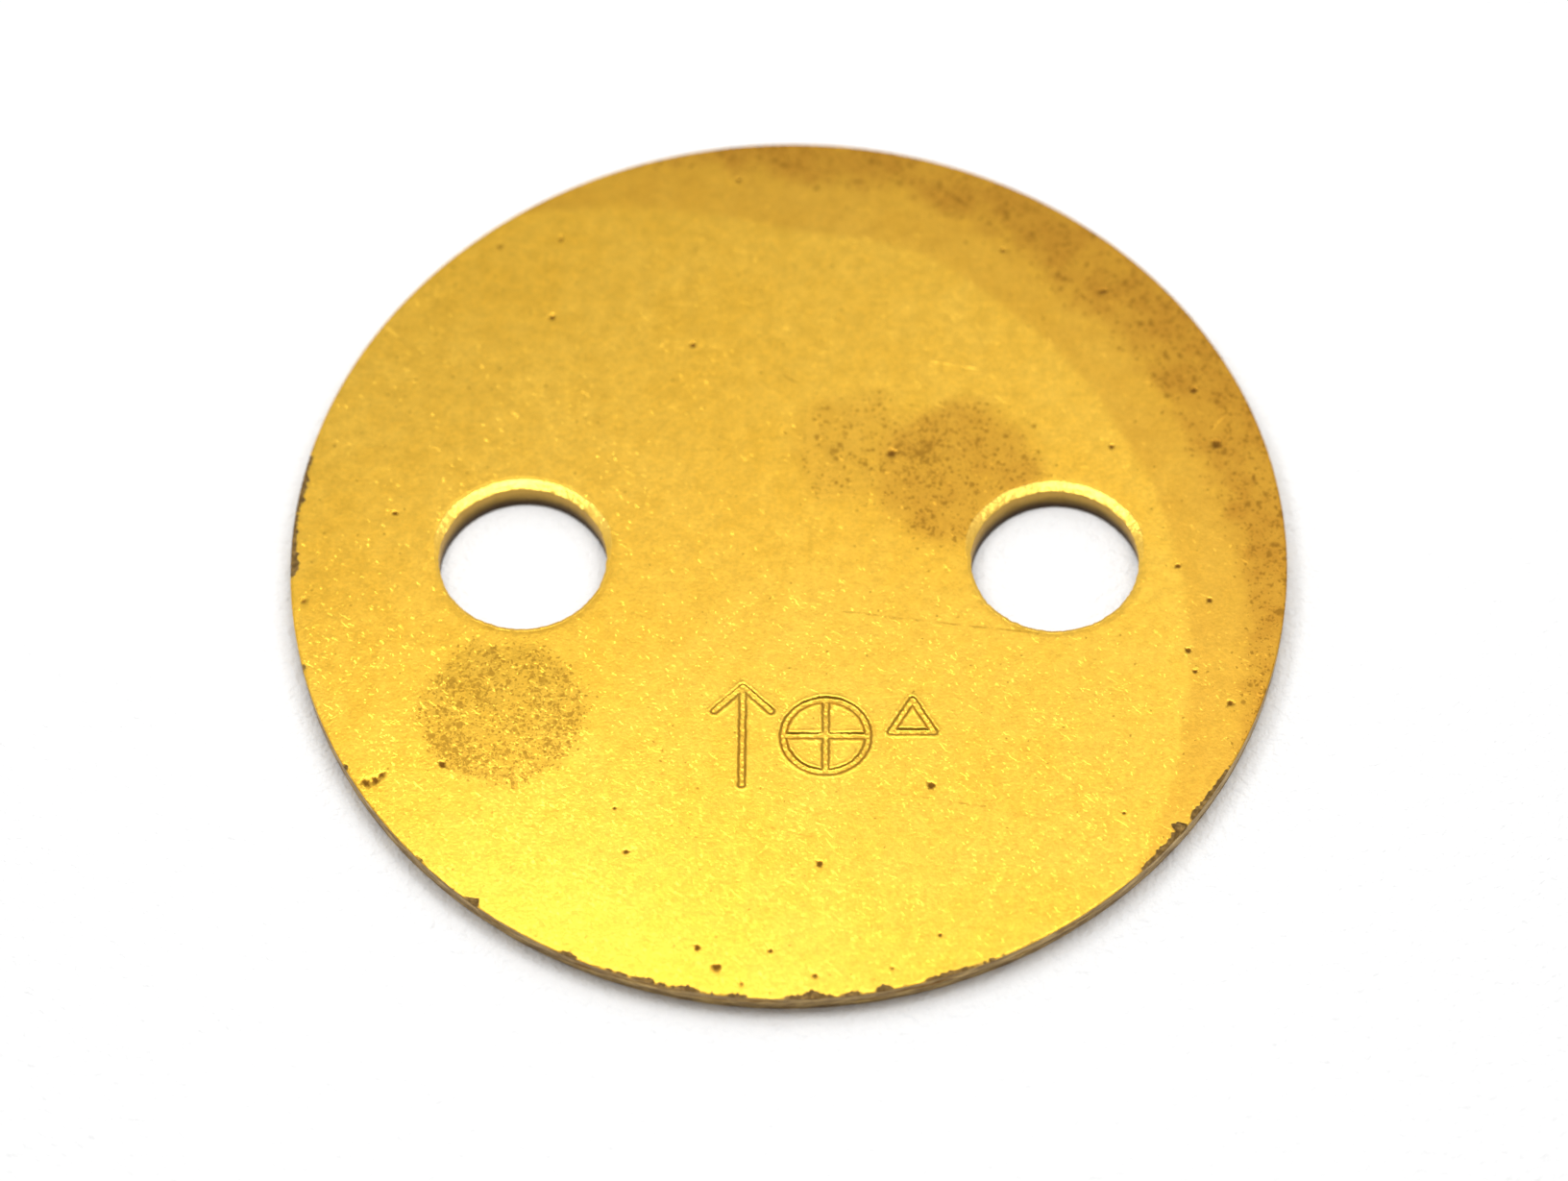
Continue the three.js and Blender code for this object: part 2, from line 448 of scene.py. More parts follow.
def hole(skin, centre):
    """One screw hole: the rolled-over lip, the wall and the lower edge. Gives back its outermost ring
    on each face."""
    turn = np.linspace(0, 2 * math.pi, HOLE_STATIONS, endpoint=False)
    ring_x, ring_y = np.cos(turn), np.sin(turn)
    along = turn * HOLE_RADIUS
    ragged = RAGGED_LIP * rough_noise(along / 0.25, 0 * along + centre, 51)
    tight = FAR_TIGHT * smooth_step(-0.1, 0.8, ring_y)
    rings, lip_height = lip_rings(skin, centre, turn, ragged)
    for share in BORE_RINGS:
        height = lip_height + share * (WORN_EDGE - TOP - lip_height)
        torn = TORN_BORE * rough_noise(along / 0.5, height / 0.12 + centre, 55)
        widening = BREAKOUT * smooth_step(0.4, 1.0, share) + np.abs(torn)
        radius = HOLE_RADIUS - tight * share + ragged * (1 - share) + widening
        flat_radius = HOLE_RADIUS + ragged - (lip_height - height)
        flat = [centre + flat_radius * ring_x, UPPER_SHIFT + flat_radius * ring_y]
        shift_x, shift_y = DRIFT_X * share, UPPER_SHIFT + (DRIFT_Y - UPPER_SHIFT) * share
        x, y = centre + shift_x + radius * ring_x, shift_y + radius * ring_y
        rings.append(skin.add(x, y, height, flat, bore=1.0))
    for upper, lower in zip(rings, rings[1:]):
        skin.strip(lower, upper, TOP_ISLAND)
    under = []
    for width in UNDER_RINGS:
        radius = HOLE_RADIUS - tight + width
        under.append(skin.add(centre + DRIFT_X + radius * ring_x, DRIFT_Y + radius * ring_y, -TOP))
    skin.strip(under[0], rings[-1], UNDER_ISLAND)
    skin.strip(under[1], under[0], UNDER_ISLAND)
    return rings[0], under[1]


# ---- the mesh -----------------------------------------------------------------------------------


def fill(skin, rings, inner):
    """Triangles between an outer ring, the hole rings inside it and the loose points."""
    corners, edges = [], []
    for ring in rings:
        start = len(corners)
        corners.extend(ring)
        count = len(ring)
        edges.extend((start + i, start + (i + 1) % count) for i in range(count))
    corners.extend(inner)
    place = np.concatenate(skin.points)[corners, :2]
    made = delaunay_2d_cdt([Vector(p) for p in place], edges, [], 1, MERGE_WITHIN)
    back = np.array([origin[0] for origin in made[3]])
    faces = np.array(corners)[back[np.array(made[2])]]
    middle = np.concatenate(skin.points)[faces, :2].mean(1)
    solid = np.ones(len(faces), bool)
    for centre in HOLES:
        solid &= np.hypot(middle[:, 0] - centre, middle[:, 1]) > HOLE_RADIUS - 0.1
    for ring in rings[1:]:
        solid &= ~np.isin(faces, ring).all(1)
    faces = faces[solid]
    a, b, c = (np.concatenate(skin.points)[faces[:, i], :2] for i in range(3))
    turned = (b - a)[:, 0] * (c - a)[:, 1] - (b - a)[:, 1] * (c - a)[:, 0] < 0
    faces[turned] = faces[turned][:, ::-1]
    return faces


def plate_skin():
    """The rim, the holes and both faces, as one closed skin."""
    skin = Skin()
    upper_rim, lower_rim = rim(skin)
    upper_holes, lower_holes = zip(*(hole(skin, centre) for centre in HOLES))
    grid = face_grid()
    relief, pit, groove = face_relief(grid[:, 0], grid[:, 1])
    inner = skin.add(grid[:, 0], grid[:, 1], FACE + relief, pit=pit, groove=groove)
    skin.triangles(fill(skin, [upper_rim, *upper_holes], inner), TOP_ISLAND)
    places = np.arange(-UNDERSIDE_REACH, UNDERSIDE_REACH + 0.1, UNDERSIDE_STEP)
    x, y = (axis.ravel() for axis in np.meshgrid(places, places))
    keep = np.hypot(x, y) < HALF_WIDTH - 1.4
    for centre in HOLES:
        keep &= np.hypot(x - centre, y) > HOLE_RADIUS + 0.8
    inner = skin.add(x[keep], y[keep], -TOP)
    skin.triangles(fill(skin, [lower_rim, *lower_holes], inner)[:, ::-1], UNDER_ISLAND)
    return skin


def make_plate():
    """The finished plate as one closed mesh."""
    skin = plate_skin()
    points = np.concatenate(skin.points)
    corners = np.concatenate(skin.faces)
    islands = np.concatenate(skin.islands)
    faces = [f[:3] if f[0] == f[3] else f for f in corners.tolist()]
    mesh = bpy.data.meshes.new("throttle_plate_skin")
    mesh.from_pydata((points * MM).tolist(), [], faces)
    for name, values in skin.masks.items():
        attribute = mesh.attributes.new(name, "FLOAT", "POINT")
        attribute.data.foreach_set("value", np.concatenate(values).astype(np.float32))
    loop_vertex = np.zeros(len(mesh.loops), np.int32)
    mesh.loops.foreach_get("vertex_index", loop_vertex)
    loop_island = np.repeat(islands, [len(f) for f in faces])
    unrolled, mirrored = np.concatenate(skin.unrolled), points[:, :2] * (-1, 1)
    on_top = (loop_island == TOP_ISLAND)[:, None]
    flat = np.where(on_top, unrolled[loop_vertex], mirrored[loop_vertex])
    widest = np.array([HALF_LENGTH + 2 * TOP, HALF_LENGTH]) + ISLAND_MARGIN
    uv = ISLAND_CENTRE[loop_island] + flat * (ISLAND_RADIUS / widest)[loop_island][:, None]
    mesh.uv_layers.new(name=BAKE_UV).data.foreach_set("uv", uv.astype(np.float32).ravel())
    mesh.shade_smooth()
    plate = bpy.data.objects.new("throttle_plate_brass", mesh)
    bpy.context.scene.collection.objects.link(plate)
    return plate


# ---- shader nodes -------------------------------------------------------------------------------


class Nodes:
    """Adds shader nodes to a tree, so that a material reads as arithmetic. Values are numbers or
    sockets."""

    def __init__(self, tree):
        self.tree = tree
        tree.nodes.clear()

    def add(self, kind, inputs=(), **settings):
        node = self.tree.nodes.new(kind)
        for name, value in settings.items():
            setattr(node, name, value)
        for name, value in dict(inputs).items():
            if isinstance(value, bpy.types.NodeSocket):
                self.tree.links.new(value, node.inputs[name])
            else:
                node.inputs[name].default_value = value
        return node

    def math(self, operation, *values):
        node = self.add("ShaderNodeMath", enumerate(values), operation=operation)
        return node.outputs[0]

    def multiply(self, *values):
        total = values[0]
        for value in values[1:]:
            total = self.math("MULTIPLY", total, value)
        return total

    def plus(self, *values):
        total = values[0]
        for value in values[1:]:
            total = self.math("ADD", total, value)
        return total

    def most(self, *values):
        """The highest of some values."""
        highest = values[0]
        for value in values[1:]:
            highest = self.math("MAXIMUM", highest, value)
        return highest

    def vector(self, operation, *values, **named):
        node = self.add("ShaderNodeVectorMath", [*enumerate(values), *named.items()], operation=operation)
        return node.outputs["Value" if operation in ("LENGTH", "DOT_PRODUCT", "DISTANCE") else "Vector"]

    def ramp(self, value, low, high, to_low=0.0, to_high=1.0):
        """A smooth change from to_low to to_high as value goes from low to high."""
        ends = {"Value": value, "From Min": low, "From Max": high, "To Min": to_low, "To Max": to_high}
        return self.add("ShaderNodeMapRange", ends, interpolation_type="SMOOTHSTEP").outputs[0]

    def blend(self, share, first, second):
        """Colour: first where share is 0, second where it is 1."""
        node = self.add("ShaderNodeMix", data_type="RGBA")
        for socket, value in zip([s for s in node.inputs if s.enabled], (share, first, second)):
            if isinstance(value, bpy.types.NodeSocket):
                self.tree.links.new(value, socket)
            else:
                socket.default_value = value
        return next(s for s in node.outputs if s.enabled)

    def noise(self, place, size, detail=2.0, roughness=0.5):
        """Noise from 0 to 1 whose features are about size mm across."""
        settings = {"Vector": place, "Scale": 1.0 / size, "Detail": detail, "Roughness": roughness}
        return self.add("ShaderNodeTexNoise", settings).outputs["Fac"]

    def place(self):
        """The object's own place, in mm."""
        return self.vector("SCALE", self.add("ShaderNodeTexCoord").outputs["Object"], Scale=1 / MM)

    def split(self, vector):
        """A vector's X, Y and Z."""
        return self.add("ShaderNodeSeparateXYZ", {"Vector": vector}).outputs

    def bump(self, height):
        """The normal of a relief whose height is in metres."""
        settings = {"Height": height, "Strength": 1.0, "Distance": 1.0}
        return self.add("ShaderNodeBump", settings).outputs["Normal"]

    def stretch(self, place, x, y, z):
        return self.vector("MULTIPLY", place, (x, y, z))

    def warp(self, place, size, amount):
        """The place, moved about by noise."""
        settings = {"Vector": place, "Scale": 1.0 / size, "Detail": 3.0}
        colour = self.add("ShaderNodeTexNoise", settings).outputs["Color"]
        offset = self.vector("SUBTRACT", colour, (0.5, 0.5, 0.5))
        return self.vector("ADD", place, self.vector("SCALE", offset, Scale=2 * amount))

    def disc(self, place, x, y, radius, edge):
        """1 inside a disc, falling to 0 over a soft edge."""
        away = self.vector("DISTANCE", place, (x, y, 0.0))
        return self.ramp(away, radius + edge, radius - edge)

    def line(self, flat, x0, y0, x1, y1, half):
        """1 along a straight line between two points, falling to 0 at half its width away."""
        run = (x1 - x0, y1 - y0, 0.0)
        start = self.vector("SUBTRACT", flat, (x0, y0, 0.0))
        share = self.math("DIVIDE", self.vector("DOT_PRODUCT", start, run), run[0] ** 2 + run[1] ** 2)
        share = self.add("ShaderNodeClamp", {"Value": share}).outputs[0]
        nearest = self.vector("SCALE", run, Scale=share)
        return self.ramp(self.vector("DISTANCE", start, nearest), half, 0.3 * half)

    def mask(self, name):
        return self.add("ShaderNodeAttribute", attribute_name=name).outputs["Fac"]


SPECK_SOCKETS = ("Cell", "Share", "Width")
STREAK_SOCKETS = ("Cell", "Share", "Width", "Length", "Lean", "Spread")


def cell_group(name, numbers, build):
    """A node group that scatters one small shape per cell of a random pattern."""
    group = bpy.data.node_groups.new(name, "ShaderNodeTree")
    for socket in ("Place", "Seed"):
        group.interface.new_socket(socket, in_out="INPUT", socket_type="NodeSocketVector")
    for socket in numbers:
        group.interface.new_socket(socket, in_out="INPUT", socket_type="NodeSocketFloat")
    group.interface.new_socket("Shape", in_out="OUTPUT", socket_type="NodeSocketFloat")
    n = Nodes(group)
    given = n.add("NodeGroupInput").outputs
    out = n.add("NodeGroupOutput")
    group.links.new(build(n, given), out.inputs["Shape"])
    return group


def cell_position(n, given):
    """The flat place relative to its cell's point, in mm, and the cell's three random numbers."""
    flat = n.vector("ADD", n.stretch(given["Place"], 1, 1, 0), given["Seed"])
    scaled = n.vector("SCALE", flat, Scale=n.math("DIVIDE", 1.0, given["Cell"]))
    cells = n.add("ShaderNodeTexVoronoi", {"Vector": scaled, "Randomness": 1.0}, voronoi_dimensions="2D")
    away = n.vector("SUBTRACT", scaled, cells.outputs["Position"])
    dice = n.add("ShaderNodeSeparateColor", {"Color": cells.outputs["Color"]}).outputs
    return n.vector("SCALE", away, Scale=given["Cell"]), dice


def streak_shape(n, given):
    """A short straight streak: 1 along its middle, 0 outside."""
    away, dice = cell_position(n, given)
    swing = n.multiply(n.math("SUBTRACT", dice[0], 0.5), given["Spread"])
    turn = {"Vector": away, "Angle": n.plus(given["Lean"], swing)}
    turned = n.add("ShaderNodeVectorRotate", turn, rotation_type="Z_AXIS").outputs["Vector"]
    parts = n.split(turned)
    half = n.multiply(given["Length"], n.ramp(dice[1], 0.0, 1.0, 0.2, 0.5))
    beyond = n.math("MAXIMUM", n.math("SUBTRACT", n.math("ABSOLUTE", parts[0]), half), 0.0)
    distance = n.math("SQRT", n.plus(n.multiply(beyond, beyond), n.multiply(parts[1], parts[1])))
    inside = n.ramp(n.math("DIVIDE", distance, given["Width"]), 0.5, 0.0)
    bright = n.multiply(inside, n.ramp(dice[0], 0.0, 1.0, 0.15, 1.0))
    return n.multiply(bright, n.math("LESS_THAN", dice[2], given["Share"]))


def speck_shape(n, given):
    """A small round speck: 1 in its middle, 0 outside. Width is the widest speck's."""
    away, dice = cell_position(n, given)
    size = n.multiply(given["Width"], n.ramp(dice[1], 0.0, 1.0, 0.25, 0.5))
    inside = n.ramp(n.math("DIVIDE", n.vector("LENGTH", away), size), 1.1, 0.3)
    return n.multiply(inside, n.math("LESS_THAN", dice[2], given["Share"]))


# ---- brass --------------------------------------------------------------------------------------

BRASS = (0.93, 0.53, 0.052, 1.0)
BRASS_PALE = (0.95, 0.57, 0.07, 1.0)
TARNISH = (0.55, 0.27, 0.03, 1.0)
SPECK = (0.2, 0.09, 0.008, 1.0)
PIT_BROWN = (0.22, 0.1, 0.012, 1.0)
CHIP_BROWN = (0.42, 0.27, 0.09, 1.0)
CRUST_BROWN = (0.2, 0.12, 0.04, 1.0)
WALL_TAN = (0.72, 0.52, 0.22, 1.0)
WALL_DARK = (0.22, 0.13, 0.05, 1.0)
# paler brass for the holes' rolled lips: partly burnished metal, partly a painted highlight
LIP_BURNISH_AND_HIGHLIGHT = (1.0, 0.66, 0.13, 1.0)
BORE_GOLD = (0.55, 0.34, 0.07, 1.0)
# the duller fracture zone at the foot of a hole's wall, darkened to nearly black with painted shade
BORE_FRACTURE_AND_SHADE = (0.06, 0.033, 0.012, 1.0)

FACE_ROUGHNESS = 0.34
SIDE_ROUGHNESS = 0.5
BROKEN_ROUGHNESS = 0.7
MICRON = 0.001  # relief is in mm
LEATHER_DEPTH = 8.0 * MICRON
ROLLED_DEPTH = 1.0 * MICRON
STREAK_DEPTH = 14.0 * MICRON
CRUST_DEPTH = 30.0 * MICRON
LIP_DEPTH = 30.0 * MICRON
FLECK_LEAN = 0.17
DARK_LINE_HALF, BRIGHT_LINE_HALF = 0.06, 0.05

# Tarnish: the ring that bounds the crescent, and discs as x, y, radius and soft edge
RING_CENTRE = (-5.6, -3.7, 0.0)
RING_EDGE = (18.25, 18.65)
RING_OUTER = (19.8, 21.0)
NEAR_LEFT = (-9.1, -5.95, 2.65, 0.35)
DARK_LOBE = (5.3, 3.25, 2.65, 0.6)
PALE_LOBE = (2.2, 4.2, 2.1, 0.6)
LOBE_CORE = (4.1, 3.7, 0.9, 0.6)

# Scattered shapes: cell, widest width, share of cells and seed; then with length, lean and spread
SPECK_LAYERS = ((0.22, 0.14, 0.12, 3.1), (0.5, 0.26, 0.2, 5.3), (1.1, 0.4, 0.12, 6.1))
FLECK_LAYERS = (
    (0.6, 0.08, 0.08, 1.3, 0.4, 15, 100),
    (0.3, 0.075, 0.04, 7.7, 0.17, 0, 180),
    (1.8, 0.06, 0.05, 2.2, 1.1, 25, 50),
)


def tarnish_masks(n, place):
    """How far the face is tarnished brown, dulled and specked, from 0 to 1."""
    flat = n.stretch(n.warp(place, 1.6, 0.6), 1, 1, 0)
    # A crescent along the upper right of the rim, darker in two steps: what lies outside the ring that
    # another part once covered. It narrows towards the left.
    from_arc = n.vector("DISTANCE", n.stretch(n.warp(place, 2.5, 0.14), 1, 1, 0), RING_CENTRE)
    from_arc = n.plus(from_arc, n.ramp(n.split(place)["X"], 5.0, -1.0, 0.0, 1.1))
    uneven = n.multiply(2.0, n.math("SUBTRACT", n.noise(place, 0.9, 4.0, 0.6), 0.5))
    outer_step = n.ramp(n.plus(from_arc, uneven), *RING_OUTER)
    rim_dark = n.plus(n.multiply(0.42, n.ramp(from_arc, *RING_EDGE)), n.multiply(0.5, outer_step))
    # A round patch at the lower left, and a two-lobed one right of the middle
    near_left, dark_lobe, pale_lobe, core = (
        n.disc(flat, *spot) for spot in (NEAR_LEFT, DARK_LOBE, PALE_LOBE, LOBE_CORE)
    )
    cloud = n.noise(place, 1.3, 4.0, 0.65)
    blotch = n.ramp(cloud, 0.3, 0.7, 0.75, 1.12)
    lobes = n.most(n.multiply(0.76, dark_lobe), n.multiply(0.36, pale_lobe))
    dark = n.multiply(n.most(rim_dark, lobes), blotch)
    dull = n.multiply(near_left, blotch)
    specked = n.most(n.multiply(0.5, outer_step), n.multiply(0.85, lobes), near_left)
    specked = n.multiply(0.85, n.plus(specked, n.multiply(0.7, core)))
    return dark, dull, n.multiply(specked, n.ramp(cloud, 0.35, 0.65, 0.45, 1.5))


class Brass:
    """The plate's material, part by part. The parts share the places, noises and masks made first."""

    def __init__(self, tree):
        n = self.n = Nodes(tree)
        self.speck_group = cell_group("specks", SPECK_SOCKETS, speck_shape)
        self.streak_group = cell_group("streaks", STREAK_SOCKETS, streak_shape)
        self.place = n.place()
        self.to_front, self.height = (n.split(self.place)[axis] for axis in "YZ")
        self.bent = n.warp(self.place, 0.25, 0.09)
        self.flat = n.stretch(n.warp(self.place, 1.5, 0.06), 1, 1, 0)
        self.mottle = n.noise(self.place, 0.9, 4.0, 0.6)
        self.cloudy = n.noise(self.place, 0.6, 3.0, 0.6)
        self.crust = n.noise(self.place, 0.16, 3.0, 0.6)
        self.streaks = n.noise(n.stretch(self.place, 1, 1, 6), 0.9, 4.0, 0.7)
        self.pit, self.groove, self.chip = (n.mask(name) for name in ("pit", "groove", "chip"))
        self.wall, self.bore, self.lip = (n.mask(name) for name in ("wall", "bore", "lip"))
        self.side = n.most(self.wall, self.chip, self.bore)
        self.open_face = n.math("SUBTRACT", 1.0, n.most(self.side, self.pit))
        self.dark, self.dull, self.specked = tarnish_masks(n, self.place)
        self.speck = self.specks()

    def scatter(self, group, cell, width, share, seed, **more):
        settings = {"Place": self.bent, "Seed": (seed, 1.7 * seed, 0.0)}
        settings.update({"Cell": cell, "Width": width, "Share": share, **more})
        return self.n.add("ShaderNodeGroup", settings, node_tree=group).outputs["Shape"]

    def dots(self, cell, width, share, seed):
        return self.scatter(self.speck_group, cell, width, share, seed)

    def cuts(self, cell, width, share, seed, length, lean, spread):
        turn = {"Lean": math.radians(lean), "Spread": math.radians(spread)}
        return self.scatter(self.streak_group, cell, width, share, seed, Length=length, **turn)

    def specks(self):
        """Dark specks, smears and grime on the tarnish, and a few stray specks elsewhere."""
        n = self.n
        clustered = [
            self.dots(cell, width, n.multiply(share, self.specked), seed)
            for cell, width, share, seed in SPECK_LAYERS
        ]
        smear = self.cuts(0.5, 0.12, n.multiply(0.16, self.specked), 4.7, 0.75, 12, 80)
        grime = n.plus(n.noise(self.bent, 0.3, 4.0, 0.75), n.multiply(0.14, self.specked))
        grime = n.multiply(n.ramp(grime, 0.66, 0.8), n.ramp(self.specked, 0.0, 0.3))
        stray = self.dots(1.7, 0.13, 0.05, 9.9)
        return n.most(n.multiply(0.56, n.most(*clustered, smear, grime)), n.multiply(0.5, stray))

    def face_colour(self):
        """Yellow brass with a fine grain, stained, specked and scratched, with painted shade along the
        struck strokes' sides.
        """
        n, place = self.n, self.place
        broad = n.ramp(n.noise(place, 9.0, 1.0), 0.35, 0.65)
        tone = n.plus(n.multiply(0.5, n.ramp(self.mottle, 0.3, 0.7)), n.multiply(0.5, broad))
        colour = n.blend(tone, BRASS, BRASS_PALE)
        grain_depth = n.ramp(self.to_front, -2.0, -12.0, 0.15, 0.24)
        grain = n.multiply(grain_depth, n.ramp(n.noise(place, 0.16, 3.0, 0.7), 0.7, 0.3))
        cast = n.ramp(n.noise(place, 0.5, 3.0, 0.6), 0.3, 0.7, 0.92, 1.06)
        dulled = n.ramp(self.dull, 0.0, 1.0, 1.0, 0.8)
        shade = n.multiply(n.math("SUBTRACT", 1.0, grain), cast, dulled)
        colour = n.blend(n.math("MINIMUM", self.dark, 1.0), n.vector("SCALE", colour, Scale=shade), TARNISH)
        colour = n.blend(self.speck, colour, SPECK)
        hairline = n.most(*(n.line(self.flat, *ends, DARK_LINE_HALF) for ends in DARK_HAIRLINES))
        colour = n.blend(n.multiply(hairline, n.ramp(self.cloudy, 0.4, 0.6, 0.04, 0.35)), colour, SPECK)
        # painted shade along the sloping sides of the struck strokes
        colour = n.blend(n.multiply(0.6, self.groove), colour, SPECK)
        return n.blend(self.pit, colour, PIT_BROWN)

    def colour(self):
        """The face, the sheared wall, the lips and walls of the holes, and the chips. The holes' walls
        carry painted shade towards their foot, and their lips partly a painted highlight.
        """
        n = self.n
        wall_colour = n.blend(n.ramp(self.streaks, 0.35, 0.68), WALL_DARK, WALL_TAN)
        colour = n.blend(self.wall, self.face_colour(), wall_colour)
        # the holes' walls darken towards their lower edge: partly a duller fracture zone, partly painted
        # shade at the foot
        bore_height = n.plus(self.height, n.multiply(0.3, self.streaks))
        bore_colour = n.blend(n.ramp(bore_height, -0.2, 0.42), BORE_FRACTURE_AND_SHADE, BORE_GOLD)
        # the rolled lips, fullest on the far side, turn paler: partly burnished brass, partly painted
        # highlight
        colour = n.blend(n.multiply(0.6, self.lip), colour, LIP_BURNISH_AND_HIGHLIGHT)
        colour = n.blend(self.bore, colour, bore_colour)
        chip_colour = n.blend(n.ramp(self.crust, 0.35, 0.75), CRUST_BROWN, CHIP_BROWN)
        colour = n.blend(self.chip, colour, chip_colour)
        return n.blend(n.multiply(self.wall, self.pit), colour, PIT_BROWN)

    def relief(self):
        """Relief too fine for the mesh, in mm."""
        n, place = self.n, self.place
        leather = n.multiply(LEATHER_DEPTH, n.noise(place, 0.1, 3.0, 0.65))
        rolled = n.multiply(ROLLED_DEPTH, n.noise(n.stretch(place, 1, 0.1, 1), 0.12, 2.0, 0.6))
        torn = n.plus(n.multiply(STREAK_DEPTH, self.streaks), n.multiply(CRUST_DEPTH, self.crust))
        relief = n.plus(n.multiply(self.open_face, n.plus(leather, rolled)), n.multiply(self.side, torn))
        return n.plus(relief, n.multiply(self.lip, LIP_DEPTH, n.noise(place, 0.15, 2.0, 0.6)))

    def flecks(self):
        """Small burrs and scratches that catch the light, more of them towards the front."""
        n = self.n
        uneven = n.ramp(n.noise(self.place, 3.0, 2.0), 0.35, 0.65, 0.4, 1.3)
        near = n.multiply(n.ramp(self.to_front, 2.0, -8.0, 0.4, 1.2), uneven, n.plus(1.0, self.dull))
        cuts = [
            self.cuts(cell, width, n.multiply(share, near), seed, *shape)
            for cell, width, share, seed, *shape in FLECK_LAYERS
        ]
        broken = n.ramp(self.cloudy, 0.4, 0.6)
        lines = [
            n.multiply(broken, n.line(self.flat, *ends, BRIGHT_LINE_HALF)) for ends in BRIGHT_HAIRLINES
        ]
        return n.most(*cuts, *lines)

    def normal(self):
        """The relief's normal, tipped at each fleck as a facet that leans towards the front would be."""
        n = self.n
        leaning = n.multiply(self.open_face, self.flecks())
        tip = n.vector("SCALE", (0.0, -FLECK_LEAN, 0.0), Scale=leaning)
        return n.vector("NORMALIZE", n.vector("ADD", n.bump(n.multiply(self.relief(), MM)), tip))

    def roughness(self):
        n = self.n
        mottled = n.multiply(0.08, n.math("SUBTRACT", self.mottle, 0.5))
        rough = n.plus(FACE_ROUGHNESS, mottled, n.multiply(0.08, self.dark))
        rough = n.multiply(rough, n.math("SUBTRACT", 1.0, n.multiply(0.1, self.lip)))
        side = n.multiply(SIDE_ROUGHNESS, n.most(self.wall, self.bore))
        return n.most(rough, side, n.multiply(BROKEN_ROUGHNESS, n.most(self.pit, self.chip, self.speck)))


def brass_material():
    material = bpy.data.materials.new("aged_brass")
    material.use_nodes = True
    brass = Brass(material.node_tree)
    finish = {
        "Base Color": brass.colour(),
        "Roughness": brass.roughness(),
        "Metallic": 1.0,
        "Normal": brass.normal(),
    }
    surface = brass.n.add("ShaderNodeBsdfPrincipled", finish)
    brass.n.add("ShaderNodeOutputMaterial", {"Surface": surface.outputs["BSDF"]})
    return material


# ---- stage --------------------------------------------------------------------------------------


def table_material():
    """White with a faint grain, fading into plain white light away from the plate."""
    material = bpy.data.materials.new("white_table")
    material.use_nodes = True
    n = Nodes(material.node_tree)
    place = n.place()
    grain = n.bump(n.multiply(n.noise(place, 0.32, 2.0, 0.6), TABLE_GRAIN * MM))
    white = (TABLE_WHITE, TABLE_WHITE, TABLE_WHITE, 1.0)
    surface = n.add("ShaderNodeBsdfPrincipled", {"Base Color": white, "Roughness": 0.8, "Normal": grain})
    far = n.ramp(n.vector("LENGTH", place), *TABLE_FADE)
    glow = n.add("ShaderNodeEmission", {"Color": (1.0, 1.0, 1.0, 1.0), "Strength": 1.0})
    mixed = n.add("ShaderNodeMixShader", {0: far, 1: surface.outputs["BSDF"], 2: glow.outputs[0]})
    n.add("ShaderNodeOutputMaterial", {"Surface": mixed.outputs[0]})
    return material


def make_table():
    """A plain table top under the plate."""
    half, z = TABLE_HALF * MM, -TOP * MM
    corners = [(-half, -half, z), (half, -half, z), (half, half, z), (-half, half, z)]
    mesh = bpy.data.meshes.new("table_top")
    mesh.from_pydata(corners, [], [(0, 1, 2, 3)])
    mesh.materials.append(table_material())
    table = bpy.data.objects.new("table_top", mesh)
    bpy.context.scene.collection.objects.link(table)


def make_lamps():
    """Soft rectangular lamps that hang over the plate and face straight down, unseen by the camera."""
    for name, (centre, width, depth, brightness) in LAMPS.items():
        lamp = bpy.data.lights.new(name, "AREA")
        lamp.shape = "RECTANGLE"
        lamp.size, lamp.size_y = width * MM, depth * MM
        lamp.energy = brightness * math.pi * lamp.size * lamp.size_y
        box = bpy.data.objects.new(name, lamp)
        box.location = Vector(centre) * MM
        box.rotation_euler = Vector((0, 0, centre[2])).to_track_quat("Z", "Y").to_euler()
        box.visible_camera = False
        bpy.context.scene.collection.objects.link(box)


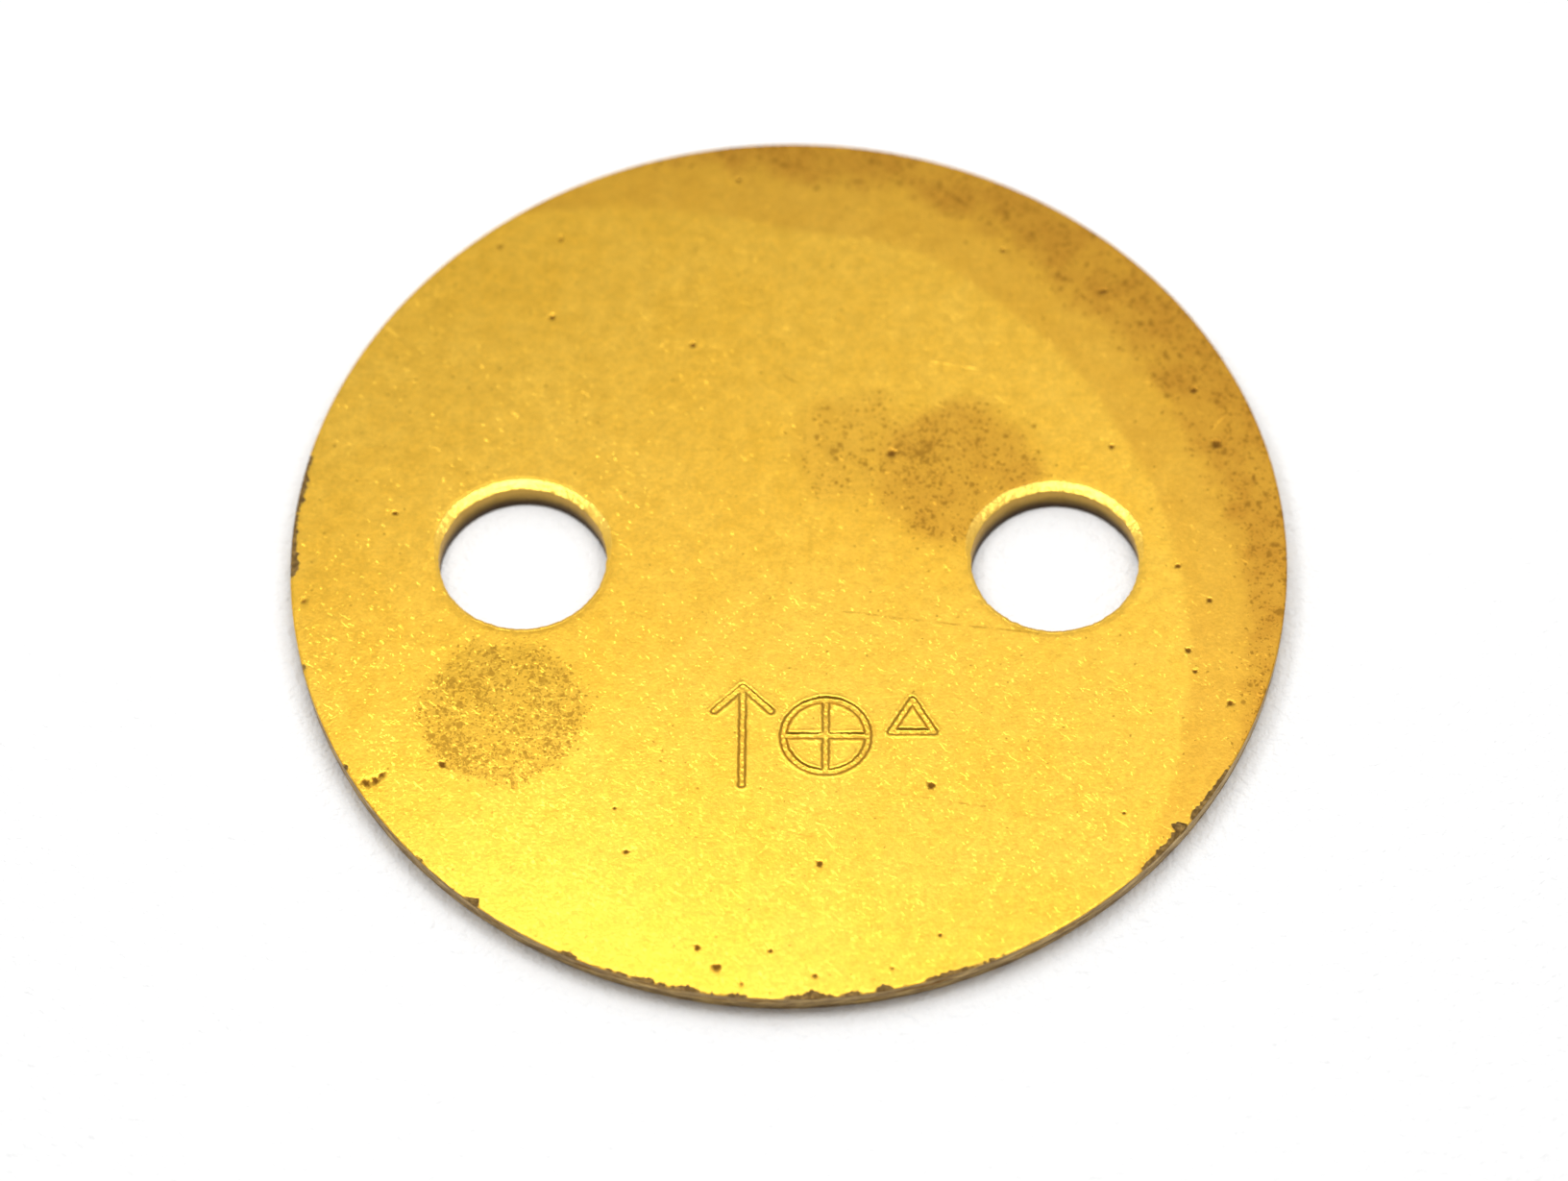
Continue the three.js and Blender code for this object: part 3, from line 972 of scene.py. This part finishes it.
def make_world():
    """A bright room, brighter behind the plate than in front and brightest low behind it. The camera
    sees it as plain white."""
    world = bpy.data.worlds.new("white_room")
    world.use_nodes = True
    bpy.context.scene.world = world
    n = Nodes(world.node_tree)
    towards = n.split(n.add("ShaderNodeTexCoord").outputs["Generated"])
    beside = n.ramp(n.math("ABSOLUTE", towards["X"]), 0.3, 0.6)
    low = n.most(n.ramp(towards["Z"], 0.78, 0.45), beside)
    low_behind = n.multiply(low, n.ramp(towards["Y"], -0.3, 0.3))
    room = n.ramp(towards["Y"], -0.8, 0.3, WORLD_FRONT, WORLD_BACK)
    room = n.plus(room, n.multiply(WORLD_LOW_BACK, low_behind))
    seen = n.add("ShaderNodeLightPath").outputs["Is Camera Ray"]
    strength = n.plus(n.multiply(room, n.math("SUBTRACT", 1.0, seen)), seen)
    background = n.add("ShaderNodeBackground", {"Strength": strength})
    n.add("ShaderNodeOutputWorld", {"Surface": background.outputs[0]})


def make_camera():
    """The photographer's view from above and in front, focused on the near part of the face."""
    elevation, yaw, roll = (math.radians(angle) for angle in (ELEVATION, YAW, ROLL))
    level = math.cos(elevation)
    back = Vector((math.sin(yaw) * level, -math.cos(yaw) * level, math.sin(elevation)))
    right = Vector((math.cos(yaw), math.sin(yaw), 0))
    up = back.cross(right)
    rolled_right = right * math.cos(roll) - up * math.sin(roll)
    rolled_up = right * math.sin(roll) + up * math.cos(roll)
    turned = Matrix((rolled_right, rolled_up, back)).transposed().to_4x4()
    focus = bpy.data.objects.new("focus", None)
    focus.location = FOCUS * MM
    lens = bpy.data.cameras.new("camera")
    lens.lens, lens.sensor_width = LENS, SENSOR
    lens.clip_start, lens.clip_end = CLIP
    lens.dof.use_dof = True
    lens.dof.aperture_fstop = F_STOP
    lens.dof.focus_object = focus
    camera = bpy.data.objects.new("camera", lens)
    camera.matrix_world = Matrix.Translation((AIM + back * DISTANCE) * MM) @ turned
    bpy.context.scene.collection.objects.link(focus)
    bpy.context.scene.collection.objects.link(camera)
    bpy.context.scene.camera = camera


plate = make_plate()
plate.data.materials.append(brass_material())
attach(plate, "root")
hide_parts(PLATE_NODE)
make_table()
make_world()
make_lamps()
make_camera()
bpy.context.scene.view_settings.view_transform = "Standard"
